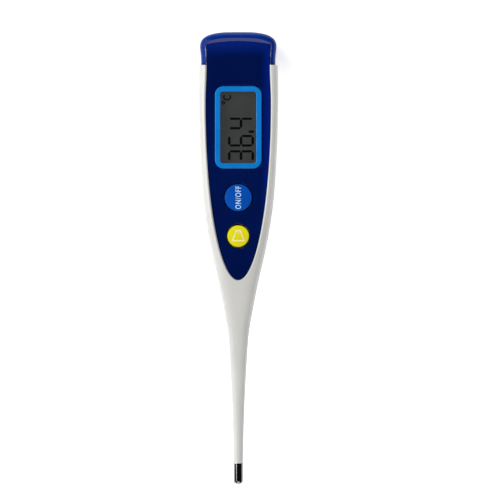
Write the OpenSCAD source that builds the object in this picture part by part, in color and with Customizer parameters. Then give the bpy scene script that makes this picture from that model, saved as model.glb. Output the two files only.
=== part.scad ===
// Pen-type clinical thermometer with a display, two buttons and a pull-off battery cover.
// It lies on its back: X is the width, +Y runs along it from the probe to the battery cover,
// +Z is the display side, and the origin is at the middle of its box on the surface below it.

/* [Overall] */
// Length from the battery cover's end to the probe's tip
overall_l = 139; // [120:1:170]
// Length of the head, from the cover's end to where the slim stem starts
head_l = 87.5; // [85:0.5:95]
// Widest width of the head
head_w = 24.6; // [24:0.1:30]
// Height of the front's curve, before the recess for the face panel is cut from it
head_t = 12.4; // [12:0.1:15]
// Height of the stem's axis above the surface it lies on
axis_z = 5.92; // [5:0.01:7]

/* [Housing] */
// Wall of the head
wall = 1.3; // [1:0.05:1.6]
// Wall of the stem at the probe
stem_wall = 0.53; // [0.4:0.01:0.6]
// Wall of the front, under the face panel
front_wall = 1; // [0.8:0.05:1.3]
// Width of the white rim beside the widest part of the face panel
rim_w = 2.36; // [1.8:0.02:2.8]
// Depth of the strip that is planed off the back to make its flat
back_flat = 0.35; // [0.2:0.05:0.6]

/* [Probe] */
// Diameter of the metal tip and of the stem where they meet
probe_d = 2.96; // [2.6:0.02:4]
// Length of the metal tip
tip_l = 6.4; // [6:0.1:9]
// Wall of the metal tip
tip_wall = 0.2; // [0.15:0.01:0.3]
// Diameter of the temperature sensor's bead
bead_d = 1; // [0.8:0.05:1.4]
// Diameter of each sensor lead
lead_d = 0.3; // [0.2:0.02:0.36]

/* [Face] */
// Thickness of the face panel
panel_t = 0.9; // [0.7:0.05:1.2]
// Depth of the face panel's top below the head's crown
panel_drop = 0.85; // [0.6:0.05:1]
// Thickness of the adhesive film under the panel
adhesive_t = 0.15; // [0.1:0.01:0.2]
// Length of the panel's half-ellipse, from its widest place to its lower end
panel_taper_l = 53.7; // [48:0.1:54]

/* [Display] */
// Width that shows inside the bezel
view_w = 11; // [9:0.1:11.2]
// Length that shows inside the bezel
view_l = 21.9; // [18:0.1:23]
// Width of the bezel's frame
bezel_w = 1.62; // [1.2:0.02:1.8]
// Distance from the cover's end to the middle of the display
display_at = 29.55; // [28:0.05:32]
// Thickness of each of the two glass plates
glass_t = 0.7; // [0.5:0.05:0.8]
// Thickness of the polarising film and of the reflector
film_t = 0.2; // [0.1:0.02:0.25]

/* [Buttons] */
// Diameter of the on and off button
power_d = 8.46; // [7:0.02:9]
// Distance from the cover's end to the on and off button
power_at = 51.04; // [50.5:0.02:52]
// Diameter of the sound button
sound_d = 6.76; // [5.5:0.02:7.2]
// Distance from the cover's end to the sound button
sound_at = 62.8; // [62:0.02:64]
// Travel of both buttons
press = 0.7; // [0.4:0.05:0.8]
// Gap round each button
button_gap = 0.28; // [0.15:0.01:0.35]

/* [Battery and cover] */
// Diameter of the button cell
cell_d = 7.9; // [7.9:0.1:9.5]
// Height of the button cell
cell_h = 3.6; // [3:0.05:4.4]
// Length of the battery cover along its sides
cover_l = 10.4; // [9.8:0.1:12]
// Wall of the battery cover
cover_wall = 1.3; // [1:0.05:1.5]
// How far each side of the cover stands in from the housing
cover_inset = 0.8; // [0.6:0.05:1.2]

/* [Circuit board] */
// Thickness of the circuit board
board_t = 0.8; // [0.6:0.1:1]
// Free height between the tray's floor and the board
board_lift = 1.2; // [1.1:0.05:1.4]
// Diameter of the buzzer's plate
buzzer_d = 12; // [10:0.5:13]

/* [Hidden] */
$fn = 48;

ring_n = 36;            // points round each section of a lofted shell
slack = 0.15;           // clearance of what slides together by hand
fit = 0.05;             // clearance of what is seated and stays put
bite = 0.6;             // how far a cut runs past the face it starts from

// Along Y, measured from the middle of the overall length
end_y = overall_l / 2;
stem_y = end_y - head_l;
tip_y = -overall_l / 2;
stem_end_y = tip_y + tip_l;
stem_l = stem_y - stem_end_y;
seam_y = end_y - cover_l;
neck_y = end_y - 3.3;
tray_y0 = end_y - 43.5;
display_y = end_y - display_at;
power_y = end_y - power_at;
sound_y = end_y - sound_at;
widest_y = end_y - 22.5;

// Widths, from the middle
head_r = head_w / 2;
probe_r = probe_d / 2;
panel_r = head_r - rim_w;
neck_r = panel_r - 0.34;
neck_wall = 0.95;
bay_r = neck_r - neck_wall;

// The arc that ends the face panel, the neck and the room for them in the cover
end_arc_r = 50;
neck_sag = end_arc_r - sqrt(end_arc_r * end_arc_r - neck_r * neck_r);

// The chamber for the cell, open at the tray's end
tray_y1 = neck_y - neck_sag - 1;
chamber_wall = 1.1;
cell_r = cell_d / 2;
cell_y = tray_y1 - 0.55 - cell_r;
chamber_r = cell_r + slack;
chamber_y0 = cell_y - chamber_r - 0.6;
board_y0 = end_y - 69.5;
board_y1 = chamber_y0 - 0.2;

// Heights, from the surface below
panel_z = head_t - panel_drop;
seat_z = panel_z - panel_t - adhesive_t;
ceiling_z = seat_z - front_wall;
neck_z = cover_wall + slack;
bay_z = neck_z + 1.1;
tray_z = bay_z + slack;
tray_t = 0.5;
floor_z = tray_z + tray_t;
board_z = floor_z + board_lift;
board_top = board_z + board_t;
gasket_t = 0.35;
glass_top = ceiling_z - fit - gasket_t;
glass_mid = glass_top - glass_t;
glass_low = glass_mid - glass_t;
ledge_z = glass_low - film_t;
contact_t = 0.2;
cell_z = floor_z + 0.3;

// Outline of the housing: place along Y, then how far its width, its underside and its crown
// have gone from those of the probe (0) to those of the head (1)
body_stations = [
    [stem_end_y, 0, 0, 0],
    [stem_y - 0.66 * stem_l, 0.033, 0.008, 0.07],
    [stem_y - 0.31 * stem_l, 0.106, 0.04, 0.27],
    [stem_y - 0.1 * stem_l, 0.175, 0.07, 0.47],
    [stem_y, 0.245, 0.095, 0.58],
    [end_y - 82.4, 0.333, 0.17, 0.71],
    [end_y - 74.5, 0.487, 0.363, 0.88],
    [end_y - 67, 0.645, 0.64, 0.96],
    [end_y - 59.5, 0.774, 0.89, 0.99],
    [end_y - 52.3, 0.866, 0.99, 1],
    [end_y - 44.5, 0.922, 1, 1],
    [end_y - 33.8, 0.973, 1, 1],
    [end_y - 21, 1, 1, 1],
    [seam_y, 0.991, 1, 1]
];

// A smooth curve through column c of the stations, read at y
function slope(p, i, c) =
    let (a = max(i - 1, 0), b = min(i + 1, len(p) - 1))
    (p[b][c] - p[a][c]) / (p[b][0] - p[a][0]);
function span_of(p, y, i = 0) =
    i >= len(p) - 2 || y <= p[i + 1][0] ? i : span_of(p, y, i + 1);
function curve(p, y, c) =
    let (i = span_of(p, y), d = p[i + 1][0] - p[i][0], t = (y - p[i][0]) / d)
    p[i][c] * (1 + 2 * t) * (1 - t) * (1 - t)
    + slope(p, i, c) * d * t * (1 - t) * (1 - t)
    + p[i + 1][c] * t * t * (3 - 2 * t)
    - slope(p, i + 1, c) * d * t * t * (1 - t);

function share(y) = min(max(curve(body_stations, y, 1), 0), 1);
function half_width(y) = probe_r + (head_r - probe_r) * share(y);
function underside(y) =
    axis_z - probe_r - (axis_z - probe_r + back_flat) * min(curve(body_stations, y, 2), 1);
function crown(y) =
    axis_z + probe_r + (head_t - axis_z - probe_r) * min(curve(body_stations, y, 3), 1);
function middle(y) = (max(underside(y), 0) + crown(y)) / 2;
function wall_at(y) = stem_wall + (wall - stem_wall) * sqrt(share(y));
function back_n(y) = 2 + share(y);

// Half width of the cavity at y and at a height z below its middle
function cavity_half(y, z) =
    let (depth = (middle(y) - z) / (middle(y) - max(underside(y), 0) - wall_at(y)))
    (half_width(y) - wall_at(y)) * pow(1 - pow(depth, back_n(y)), 1 / back_n(y));

// The tray fits the neck and the cavity's lower corners; the board stands on the tray
tray_r = min(bay_r, cavity_half(tray_y0, tray_z)) - slack;
board_r = tray_r - 0.6;

// One section across the length: a superellipse with its own squareness in front and behind
function section(y, half_w, low, mid, high, back_n, front_n) = [
    for (i = [0 : ring_n - 1])
        let (
            a = 360 * i / ring_n,
            n = sin(a) > 0 ? front_n : back_n,
            reach = sin(a) > 0 ? high - mid : mid - low
        )
        [
            half_w * sign(cos(a)) * pow(abs(cos(a)), 2 / n),
            y,
            mid + reach * sign(sin(a)) * pow(abs(sin(a)), 2 / n)
        ]
];
function body_section(y) =
    section(y, half_width(y), underside(y), middle(y), crown(y), back_n(y), 2 + 3 * share(y));
function cavity_section(y) =
    section(
        y, half_width(y) - wall_at(y), max(underside(y), 0) + wall_at(y), middle(y),
        min(ceiling_z, crown(y) - wall_at(y)), back_n(y), 2 + 7 * share(y)
    );

// Where the sections are: so many along the stem and so many along the head, whatever its length
function places(y0, y1, stem_steps, head_steps) = [
    for (i = [0 : stem_steps - 1]) y0 + (stem_y - y0) * i / stem_steps,
    for (i = [0 : head_steps]) stem_y + (y1 - stem_y) * i / head_steps
];

// A closed skin over a row of sections with equal numbers of points
module loft(rings) {
    n = len(rings[0]);
    last = len(rings) - 1;
    polyhedron(
        points = [for (r = rings) each r],
        faces = [
            [for (i = [n - 1 : -1 : 0]) i],
            for (k = [0 : last - 1], i = [0 : n - 1])
                [k * n + i, k * n + (i + 1) % n, (k + 1) * n + (i + 1) % n],
            for (k = [0 : last - 1], i = [0 : n - 1])
                [k * n + i, (k + 1) * n + (i + 1) % n, (k + 1) * n + i],
            [for (i = [0 : n - 1]) last * n + i]
        ]
    );
}

// A rounded bar that runs along Y
module bar(half_w, low, high, y0, y1, r) {
    translate([0, y1, 0])
        rotate([90, 0, 0])
            linear_extrude(height = y1 - y0)
                rounded(-half_w, half_w, low, high, r);
}

// A rectangle with round corners
module rounded(x0, x1, y0, y1, r) {
    translate([x0 + r, y0]) square([x1 - x0 - 2 * r, y1 - y0]);
    translate([x0, y0 + r]) square([x1 - x0, y1 - y0 - 2 * r]);
    for (x = [x0 + r, x1 - r], y = [y0 + r, y1 - r])
        translate([x, y]) circle(r);
}

// A flat plate with round corners, centred on the display
module display_plate(half_w, half_l, low, high, r) {
    translate([0, display_y, low])
        linear_extrude(height = high - low)
            rounded(-half_w, half_w, -half_l, half_l, r);
}

// A box from its lowest corner to its highest
module block(low, high) {
    translate(low) cube(high - low);
}

// A round post that stands on z0
module post(x, y, r, z0, z1) {
    translate([x, y, z0]) cylinder(h = z1 - z0, r = r);
}

// Half width of the face panel at y: a half ellipse below its widest place, then nearly straight
function panel_half(y) =
    y < widest_y
    ? panel_r * sqrt(max(0, 1 - pow((widest_y - y) / panel_taper_l, 2)))
    : panel_r - (panel_r - neck_r) * pow(sin(min(90, 90 * (y - widest_y) / (seam_y - widest_y))), 2);
panel_steps = 30;
panel_side = [
    for (i = [0 : panel_steps]) let (y = widest_y - panel_taper_l * cos(90 * i / panel_steps))
        [panel_half(y), y],
    for (i = [1 : 4]) let (y = widest_y + (seam_y - widest_y) * i / 4) [panel_half(y), y],
    [neck_r, neck_y + 1]
];

// The panel's outline, spread by gap on every side
function spread(p, gap) = [
    p[0] * (1 + gap / panel_r),
    p[1] - gap * max(0, widest_y - p[1]) / panel_taper_l
];
function panel_outline(gap) = [
    for (p = panel_side) spread(p, gap),
    for (i = [len(panel_side) - 1 : -1 : 1])
        let (p = spread(panel_side[i], gap)) [-p[0], p[1]]
];
module panel_plan(gap) {
    intersection() {
        polygon(panel_outline(gap));
        translate([0, neck_y - end_arc_r]) circle(end_arc_r, $fn = 200);
    }
}

// The recess for the panel: straight where the panel sits, bevelled at 45 degrees above it. Both
// cuts run past the height where they meet, and out over the neck's end.
module panel_recess() {
    translate([0, 0, seat_z])
        linear_extrude(height = panel_t + adhesive_t + 0.3) polygon(panel_outline(fit * 2));
    loft([
        for (rise = [-0.4, 1])
            let (outline = panel_outline(fit * 2 + rise))
            [for (i = [len(outline) - 1 : -1 : 0]) [outline[i][0], outline[i][1], panel_z + rise]]
    ]);
}

// The holes that the face panel and the front wall share
module button_holes(low, high, gap) {
    post(0, power_y, power_d / 2 + gap, low, high);
    post(0, sound_y, sound_d / 2 + gap, low, high);
}

bezel_half_w = view_w / 2 + bezel_w;
bezel_half_l = view_l / 2 + bezel_w;
bezel_corner = 2.6;
opening_half_w = view_w / 2 + 0.3;
opening_half_l = view_l / 2 + 0.3;

// White one-piece shell with the stem, open at the neck where the insides slide in
module housing() {
    cavity_y0 = stem_end_y + 0.6;
    cavity_y1 = seam_y - 1.6;
    color("whitesmoke")
        difference() {
            union() {
                difference() {
                    loft([for (y = places(stem_end_y, seam_y, 15, 27)) body_section(y)]);
                    loft([for (y = places(cavity_y0, cavity_y1, 9, 15)) cavity_section(y)]);
                }
                neck();
                spigot(probe_r - tip_wall - fit, stem_end_y - 3, stem_end_y + 1);
                tray_rails();
                board_posts();
            }
            bar(bay_r, bay_z, ceiling_z, cavity_y1 - bite, neck_y + 1, 0.4);
            spigot(probe_r - stem_wall - 0.1, stem_end_y - 4, stem_end_y + 1.4);
            panel_recess();
            display_plate(opening_half_w, opening_half_l, ceiling_z - bite, seat_z + bite, 0.8);
            button_holes(ceiling_z - bite, seat_z + bite, button_gap);
            block([-head_w, tip_y - 1, -2], [head_w, end_y, 0]);
        }
}

// The reduced end of the housing that goes into the cover and carries the face panel's top
module neck() {
    intersection() {
        bar(neck_r, neck_z, seat_z + 0.2, seam_y - 1.9, neck_y, 1.4);
        translate([0, neck_y - end_arc_r, 0]) cylinder(h = head_t, r = end_arc_r, $fn = 200);
    }
}

// A round length of the stem's end, on the stem's axis
module spigot(r, y0, y1) {
    translate([0, y1, axis_z]) rotate([90, 0, 0]) cylinder(h = y1 - y0, r = r);
}

// Two ribs along the inside of the back that the tray slides on
module tray_rails() {
    for (side = [-1, 1])
        translate([side * tray_r * 0.66 - 0.5, tray_y0, wall - 0.4])
            cube([1, seam_y - 2 - tray_y0, tray_z - fit - wall + 0.4]);
}

// Posts that hold the board up under each button
module board_posts() {
    for (y = [power_y, sound_y], side = [-1, 1])
        post(side * 3.6, y, 0.9, underside(y) + wall, board_z - fit);
}

// Navy panel set in the front, with the openings for the display and the buttons
module face_panel() {
    color("midnightblue")
        difference() {
            translate([0, 0, panel_z - panel_t]) linear_extrude(height = panel_t) panel_plan(0);
            display_plate(bezel_half_w + fit, bezel_half_l + fit, seat_z, head_t, bezel_corner + fit);
            button_holes(seat_z, head_t, button_gap);
        }
}

// Double-sided film that holds the panel in its recess
module panel_adhesive() {
    color("ghostwhite")
        difference() {
            translate([0, 0, seat_z]) linear_extrude(height = adhesive_t) panel_plan(-0.4);
            display_plate(bezel_half_w + 0.4, bezel_half_l + 0.4, seat_z - 1, seat_z + 1, bezel_corner);
            button_holes(seat_z - 1, seat_z + 1, 0.8);
        }
}

bezel_rise = 0.12;
window_t = 0.8;
window_margin = 0.7;

// Light blue frame round the display
module display_bezel() {
    color("dodgerblue")
        difference() {
            display_plate(bezel_half_w, bezel_half_l, seat_z, panel_z + bezel_rise, bezel_corner);
            display_plate(view_w / 2, view_l / 2, seat_z - 1, head_t, 0.9);
            display_plate(
                view_w / 2 + window_margin, view_l / 2 + window_margin,
                seat_z - 1, seat_z + window_t, 1.2
            );
        }
}

// Clear window, held up against the bezel's lip
module display_window() {
    color("lightcyan", 0.4)
        display_plate(
            view_w / 2 + window_margin - fit, view_l / 2 + window_margin - fit,
            seat_z, seat_z + window_t, 1.2 - fit
        );
}

glass_half_w = view_w / 2 + 1.7;
glass_half_l = view_l / 2 + 1.2;
rear_edge = glass_half_w - 2.2;
film_half_w = view_w / 2 + 0.35;
film_half_l = view_l / 2 + 0.45;

// Foam frame between the glass and the front wall
module lcd_gasket() {
    color("dimgray")
        difference() {
            display_plate(glass_half_w - 0.1, glass_half_l - 0.2, glass_top, glass_top + gasket_t, 0.3);
            display_plate(film_half_w + 0.15, film_half_l + 0.15, glass_top - 1, ceiling_z, 0.3);
        }
}

// Polarising film on the front glass
module lcd_polariser() {
    color("darkgray")
        display_plate(film_half_w, film_half_l, glass_top, glass_top + film_t, 0.2);
}

// Front glass, with the contact ledge along its +X side
module lcd_front_glass() {
    color("lightgray", 0.6)
        display_plate(glass_half_w, glass_half_l, glass_mid, glass_top, 0.1);
}

// Rear glass, narrower than the front glass by the contact ledge
module lcd_rear_glass() {
    color("lightgray", 0.6)
        block(
            [-glass_half_w, display_y - glass_half_l, glass_low],
            [rear_edge, display_y + glass_half_l, glass_mid]
        );
}

// Reflector film behind the rear glass
module lcd_reflector() {
    color("silver")
        block(
            [-glass_half_w, display_y - glass_half_l, ledge_z],
            [rear_edge, display_y + glass_half_l, glass_low]
        );
}

zebra_x0 = rear_edge + 0.3;
zebra_x1 = glass_half_w - 0.3;
zebra_half_l = glass_half_l - 0.8;
frame_half_l = glass_half_l + 0.7;

// Moulded frame that stands on the board, holds the glass and guides the zebra strip
module lcd_frame() {
    frame_half_w = glass_half_w + 0.65;
    ledge_t = 0.9;
    color("white")
        difference() {
            display_plate(frame_half_w, frame_half_l, board_top, glass_top - fit, 0.6);
            display_plate(glass_half_w + fit, glass_half_l + fit, ledge_z, glass_top + 1, 0.1);
            display_plate(glass_half_w - 0.2, glass_half_l - 0.6, board_top - 1, ledge_z - ledge_t, 0.3);
            block(
                [-glass_half_w + 1.2, display_y - view_l / 2, board_top - 1],
                [rear_edge - 1, display_y + view_l / 2, ledge_z + 1]
            );
            block(
                [zebra_x0 - fit, display_y - zebra_half_l - fit, board_top - 1],
                [zebra_x1 + fit, display_y + zebra_half_l + fit, ledge_z + 1]
            );
        }
}

// Striped rubber that carries the signals from the board up to the glass
module zebra_strip() {
    color("pink")
        block(
            [zebra_x0, display_y - zebra_half_l, board_top],
            [zebra_x1, display_y + zebra_half_l, glass_mid]
        );
}

board_tip_r = 4.5;

// Circuit board, narrowed at the probe's end where the housing tapers
module circuit_board() {
    shoulder_y = end_y - 49.5;
    color("seagreen")
        difference() {
            translate([0, 0, board_z])
                linear_extrude(height = board_t)
                    polygon([
                        [-board_r, board_y1], [board_r, board_y1], [board_r, shoulder_y],
                        [board_tip_r, board_y0], [-board_tip_r, board_y0], [-board_r, shoulder_y]
                    ]);
            for (side = [-1, 1])
                post(side * lead_pad_x, board_y0 + 1.2, 0.25, board_z - 1, board_top + 1);
        }
}

// Black resin over the chip, on the underside of the board
module chip_cover() {
    blob_h = 1;
    blob_r = 3;
    ball_r = (blob_r * blob_r + blob_h * blob_h) / (2 * blob_h);
    color("black")
        intersection() {
            translate([0, (power_y + sound_y) / 2, board_z - blob_h + ball_r]) sphere(ball_r, $fn = 60);
            post(0, (power_y + sound_y) / 2, blob_r + 1, board_z - 2, board_z);
        }
}

chip_l = 1.6;
chip_w = 0.8;
chip_y = tray_y0 - 2;

// A row of small chip parts on the underside of the board
module chip_row(places, h) {
    for (x = places)
        block(
            [x - chip_w / 2, chip_y - chip_l / 2, board_z - h],
            [x + chip_w / 2, chip_y + chip_l / 2, board_z]
        );
}
module chip_resistors() {
    color("darkslategray") chip_row([-5.4, -3.8, -2.2, 2.2], 0.45);
}
module chip_capacitors() {
    color("tan") chip_row([-0.6, 3.8, 5.4], 0.7);
}

roof_z = cell_z + cell_h + slack;

// Tray that carries the board, the buzzer and the battery, and slides in from the neck
module tray() {
    side_w = 1;
    color("gainsboro")
        difference() {
            union() {
                bar(tray_r, tray_z, floor_z, tray_y0, tray_y1, 0.2);
                for (side = [0, 1])
                    mirror([side, 0, 0]) {
                        block([tray_r - side_w, tray_y0, tray_z + 0.2], [tray_r, board_y1, board_z]);
                        block([board_r + slack, tray_y0, board_z - 0.2], [tray_r, board_y1, board_top - fit]);
                    }
                block(
                    [-chamber_r - chamber_wall, chamber_y0, tray_z + 0.2],
                    [chamber_r + chamber_wall, tray_y1, roof_z + 0.6]
                );
            }
            post(0, cell_y, chamber_r, floor_z, roof_z);
            block([-chamber_r, cell_y, floor_z], [chamber_r, tray_y1 + 1, roof_z]);
            // finger slot in the chamber's roof
            post(0, cell_y, 2.4, roof_z - 1, roof_z + 2);
            block([-2.4, cell_y, roof_z - 1], [2.4, tray_y1 + 1, roof_z + 2]);
            // ways in for the two battery contacts
            block([-1.7, chamber_y0 - 1, floor_z], [1.7, cell_y - 2, floor_z + 1.3]);
            block(
                [cell_r - 0.5, cell_y - 3, board_top - 0.3],
                [chamber_r + 3, cell_y + 2.6, board_top + 1.8]
            );
            // sound hole under the buzzer
            post(0, display_y - 2, buzzer_d / 2 - 2, tray_z - 1, floor_z + 1);
        }
}

buzzer_t = 0.2;
ceramic_t = 0.15;

// Piezo buzzer: a brass plate on the tray's floor, with a ceramic disc bonded to it
module buzzer_plate() {
    color("goldenrod") post(0, display_y - 2, buzzer_d / 2, floor_z, floor_z + buzzer_t);
}
module buzzer_ceramic() {
    color("ivory")
        post(0, display_y - 2, buzzer_d / 2 - 1.5, floor_z + buzzer_t, floor_z + buzzer_t + ceramic_t);
}

// Two short leads from the buzzer up to the board
module buzzer_leads() {
    color("silver") {
        post(0, display_y - 2 + buzzer_d / 2 - 0.7, 0.2, floor_z + buzzer_t, board_z);
        post(0, display_y - 2 + buzzer_d / 2 - 3.2, 0.2, floor_z + buzzer_t + ceramic_t, board_z);
    }
}

// Heights of the parts of a button
pad_t = 0.05;
flange_z = ceiling_z - slack - 0.6;
pill_z = board_top + pad_t + press + 0.03;
pill_t = 0.4;
cap_z = panel_z + 0.1;
crown_rise = 0.22;

function plunger_r(d) = d * 0.33;
function web_r(d) = d / 2 + 0.75;

// A moulded button: slightly crowned top, skirt through the panel and flange under the front wall
module button_cap(y, d) {
    ball_r = (pow(d / 2, 2) + pow(crown_rise, 2)) / (2 * crown_rise);
    post(0, y, d / 2 + 0.8, flange_z, flange_z + 0.6);
    post(0, y, d / 2, flange_z + 0.3, cap_z);
    intersection() {
        post(0, y, d / 2, cap_z - 0.1, cap_z + 1);
        translate([0, y, cap_z + crown_rise - ball_r]) sphere(ball_r, $fn = 90);
    }
}
module power_button() {
    color("royalblue") button_cap(power_y, power_d);
}
module sound_button() {
    color("gold") button_cap(sound_y, sound_d);
}

// Silicone plunger between the button and its contact pill
module power_plunger() {
    color("lightgray") post(0, power_y, plunger_r(power_d), pill_z + pill_t, flange_z);
}
module sound_plunger() {
    color("lightgray") post(0, sound_y, plunger_r(sound_d), pill_z + pill_t, flange_z);
}

// Carbon pill that closes the contacts on the board
module power_pill() {
    color("black") post(0, power_y, plunger_r(power_d) - 0.5, pill_z, pill_z + pill_t);
}
module sound_pill() {
    color("black") post(0, sound_y, plunger_r(sound_d) - 0.5, pill_z, pill_z + pill_t);
}

// The skirt of the silicone keypad round one plunger: a foot on the board and a thin cone
module keypad_skirt(y, d) {
    inner = plunger_r(d) + fit;
    outer = web_r(d);
    foot_top = board_top + 1;
    web_top = flange_z - press - fit - slack;
    translate([0, y, 0])
        rotate_extrude()
            polygon([
                [outer - 0.8, board_top], [outer, board_top], [outer, foot_top],
                [inner + 0.5, web_top], [inner, web_top], [inner, web_top - 0.4],
                [inner + 0.3, web_top - 0.4], [outer - 0.8, foot_top - 0.3]
            ]);
}
module keypad() {
    color("gray") {
        keypad_skirt(power_y, power_d);
        keypad_skirt(sound_y, sound_d);
        block(
            [-1.2, sound_y + web_r(sound_d) - 0.15, board_top],
            [1.2, power_y - web_r(power_d) + 0.15, board_top + 0.6]
        );
    }
}

// Two half-round gold pads under each pill
module switch_contacts() {
    color("gold")
        for (b = [[power_y, plunger_r(power_d)], [sound_y, plunger_r(sound_d)]])
            difference() {
                post(0, b[0], b[1], board_top, board_top + pad_t);
                block([-0.2, b[0] - 6, board_top - 1], [0.2, b[0] + 6, board_top + 1]);
            }
}

// The outline of a strip of metal of thickness t that follows a path of corners
function along(p, i) =
    let (a = p[max(i - 1, 0)], b = p[min(i + 1, len(p) - 1)]) (b - a) / norm(b - a);
function strip(p, t) = [
    for (i = [0 : len(p) - 1]) p[i] + [-along(p, i)[1], along(p, i)[0]] * t / 2,
    for (i = [len(p) - 1 : -1 : 0]) p[i] - [-along(p, i)[1], along(p, i)[0]] * t / 2
];

// Spring strip under the cell's negative cap, soldered to the board's underside
module negative_contact() {
    color("silver")
        translate([-1.4, 0, 0])
            rotate([90, 0, 90])
                linear_extrude(height = 2.8)
                    polygon(strip([
                        [board_y1 - 2.6, board_z - 0.12], [board_y1 - 1, board_z - 0.12],
                        [board_y1 + 0.2, floor_z + 0.13], [cell_y - 1.2, floor_z + 0.13],
                        [cell_y + 0.8, cell_z - 0.12]
                    ], contact_t));
}

// Spring leaf beside the cell's can, with a foot soldered to the board's underside
module positive_contact() {
    leaf_x = chamber_r + chamber_wall + 0.35;
    color("silver") {
        block(
            [leaf_x - 1.4, board_y1 - 1.6, board_z - contact_t],
            [leaf_x + 0.1, board_y1 + 0.15, board_z]
        );
        block(
            [leaf_x - 0.1, board_y1 + 0.1, board_z - contact_t],
            [leaf_x + 0.1, board_y1 + 0.6, board_top + 1.4]
        );
        translate([0, 0, board_top])
            linear_extrude(height = 1.4)
                polygon(strip([
                    [leaf_x, board_y1 + 0.2], [leaf_x, cell_y - 2.6],
                    [cell_r + 0.14, cell_y], [cell_r + 0.7, cell_y + 2]
                ], contact_t));
    }
}

// Half the outline of a thimble on the Y axis: straight sides and a round-cornered closed end
module thimble(r, length, corner) {
    rotate([90, 0, 0])
        rotate_extrude()
            union() {
                square([r, length - corner]);
                square([r - corner, length]);
                translate([r - corner, length - corner])
                    intersection() {
                        circle(corner);
                        square(corner);
                    }
            }
}

tip_corner = 1;

// Drawn stainless tip, glued over the stem's spigot
module probe_tip() {
    color("silver")
        translate([0, stem_end_y, axis_z])
            difference() {
                thimble(probe_r, tip_l, tip_corner);
                translate([0, 1, 0])
                    thimble(probe_r - tip_wall, tip_l + 1 - tip_wall, tip_corner - tip_wall);
            }
}

bead_y = tip_y + tip_wall + 0.35 + bead_d / 2;
fill_y = stem_end_y - 3 - fit;

// Resin that fills the tip round the sensor
module tip_epoxy() {
    color("peru")
        difference() {
            translate([0, fill_y, axis_z])
                thimble(probe_r - tip_wall - fit, fill_y - tip_y - tip_wall - fit, tip_corner - tip_wall);
            translate([0, bead_y, axis_z]) sphere(bead_d / 2 + 0.01);
            for (side = [-1, 1])
                translate([side * lead_x, fill_y + 1, axis_z])
                    rotate([90, 0, 0]) cylinder(h = fill_y + 1 - bead_y, r = lead_d / 2 + 0.03);
        }
}

// Glass bead of the temperature sensor
module sensor_bead() {
    color("darkorange")
        difference() {
            translate([0, bead_y, axis_z]) sphere(bead_d / 2);
            for (side = [-1, 1])
                translate([side * lead_x, bead_y + bead_d, axis_z])
                    rotate([90, 0, 0]) cylinder(h = bead_d, r = lead_d / 2 + 0.03);
        }
}

lead_x = 0.22;
lead_pad_x = 1.5;
lead_rise = board_top + lead_d / 2 + 0.02;

// Route of the +X sensor lead, from the bead up the stem to its pad on the board
lead_route = [
    [lead_x, bead_y + 0.1, axis_z], [lead_x, stem_end_y, axis_z], [0.3, stem_y - 20, axis_z],
    [0.5, stem_y + 2, axis_z + 0.2], [0.9, board_y0 - 6, axis_z + 0.5],
    [1.3, board_y0 - 2, lead_rise + 0.3], [lead_pad_x, board_y0 + 0.5, lead_rise],
    [lead_pad_x, board_y0 + 2, lead_rise]
];

// A round tube of eight sides that is swept along a route running mostly in +Y
module swept_tube(route, d) {
    loft([for (p = route)
        [for (i = [0 : 7]) p + d / 2 * [cos(45 * i), 0, sin(45 * i)]]]);
}

// The pair of insulated leads
module sensor_leads() {
    color("firebrick") {
        swept_tube(lead_route, lead_d);
        mirror([1, 0, 0]) swept_tube(lead_route, lead_d);
    }
}

can_t = 0.25;
seal_gap = 0.02;
grommet_r = cell_r - can_t - seal_gap;
inner_cap_r = grommet_r - 0.4 - seal_gap;

// Steel can of the button cell, open towards the back
module battery_can() {
    color("lightsteelblue")
        difference() {
            post(0, cell_y, cell_r, cell_z + 0.35, cell_z + cell_h);
            post(0, cell_y, cell_r - can_t, cell_z, cell_z + cell_h - can_t);
        }
}

// Nylon ring that seals the can to the cap
module battery_grommet() {
    color("ivory")
        difference() {
            post(0, cell_y, grommet_r, cell_z + 0.2, cell_z + cell_h - can_t);
            post(0, cell_y, grommet_r - 0.4, cell_z, cell_z + cell_h);
        }
}

// Negative cap with the cell's contents
module battery_cap() {
    color("silver") post(0, cell_y, inner_cap_r, cell_z, cell_z + cell_h - can_t);
}

parting = 0.1;
cover_y0 = seam_y + parting;
dome_y = end_y - 4.9;
dome_n = 2.8;
cover_r = head_r - 0.5;
plug_y = tray_y1 + 0.2;
plug_r = bay_r - 0.65;
plug_z0 = bay_z + 0.65;
plug_z1 = ceiling_z - 0.65;

// Half width of the cover: narrow at the seam, swelling to its widest where the end's dome starts
function dome(y) =
    y <= dome_y ? 1 : pow(max(0, 1 - pow((y - dome_y) / (end_y - dome_y), dome_n)), 1 / dome_n);
function cover_half(y) =
    y <= dome_y
    ? head_r - cover_inset + (cover_r - head_r + cover_inset)
        * (1 - cos(180 * (y - cover_y0) / (dome_y - cover_y0))) / 2 - cover_waist(y)
    : cover_r * dome(y);
function cover_waist(y) = 0.12 * sin(180 * (y - cover_y0) / (dome_y - cover_y0));
function cover_section(y) =
    let (mid = head_t / 2, d = dome(y))
    section(
        y, cover_half(y), mid - (mid + back_flat) * d, mid,
        mid + (head_t - 0.15 - mid) * d, 3, 4.4
    );

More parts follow.
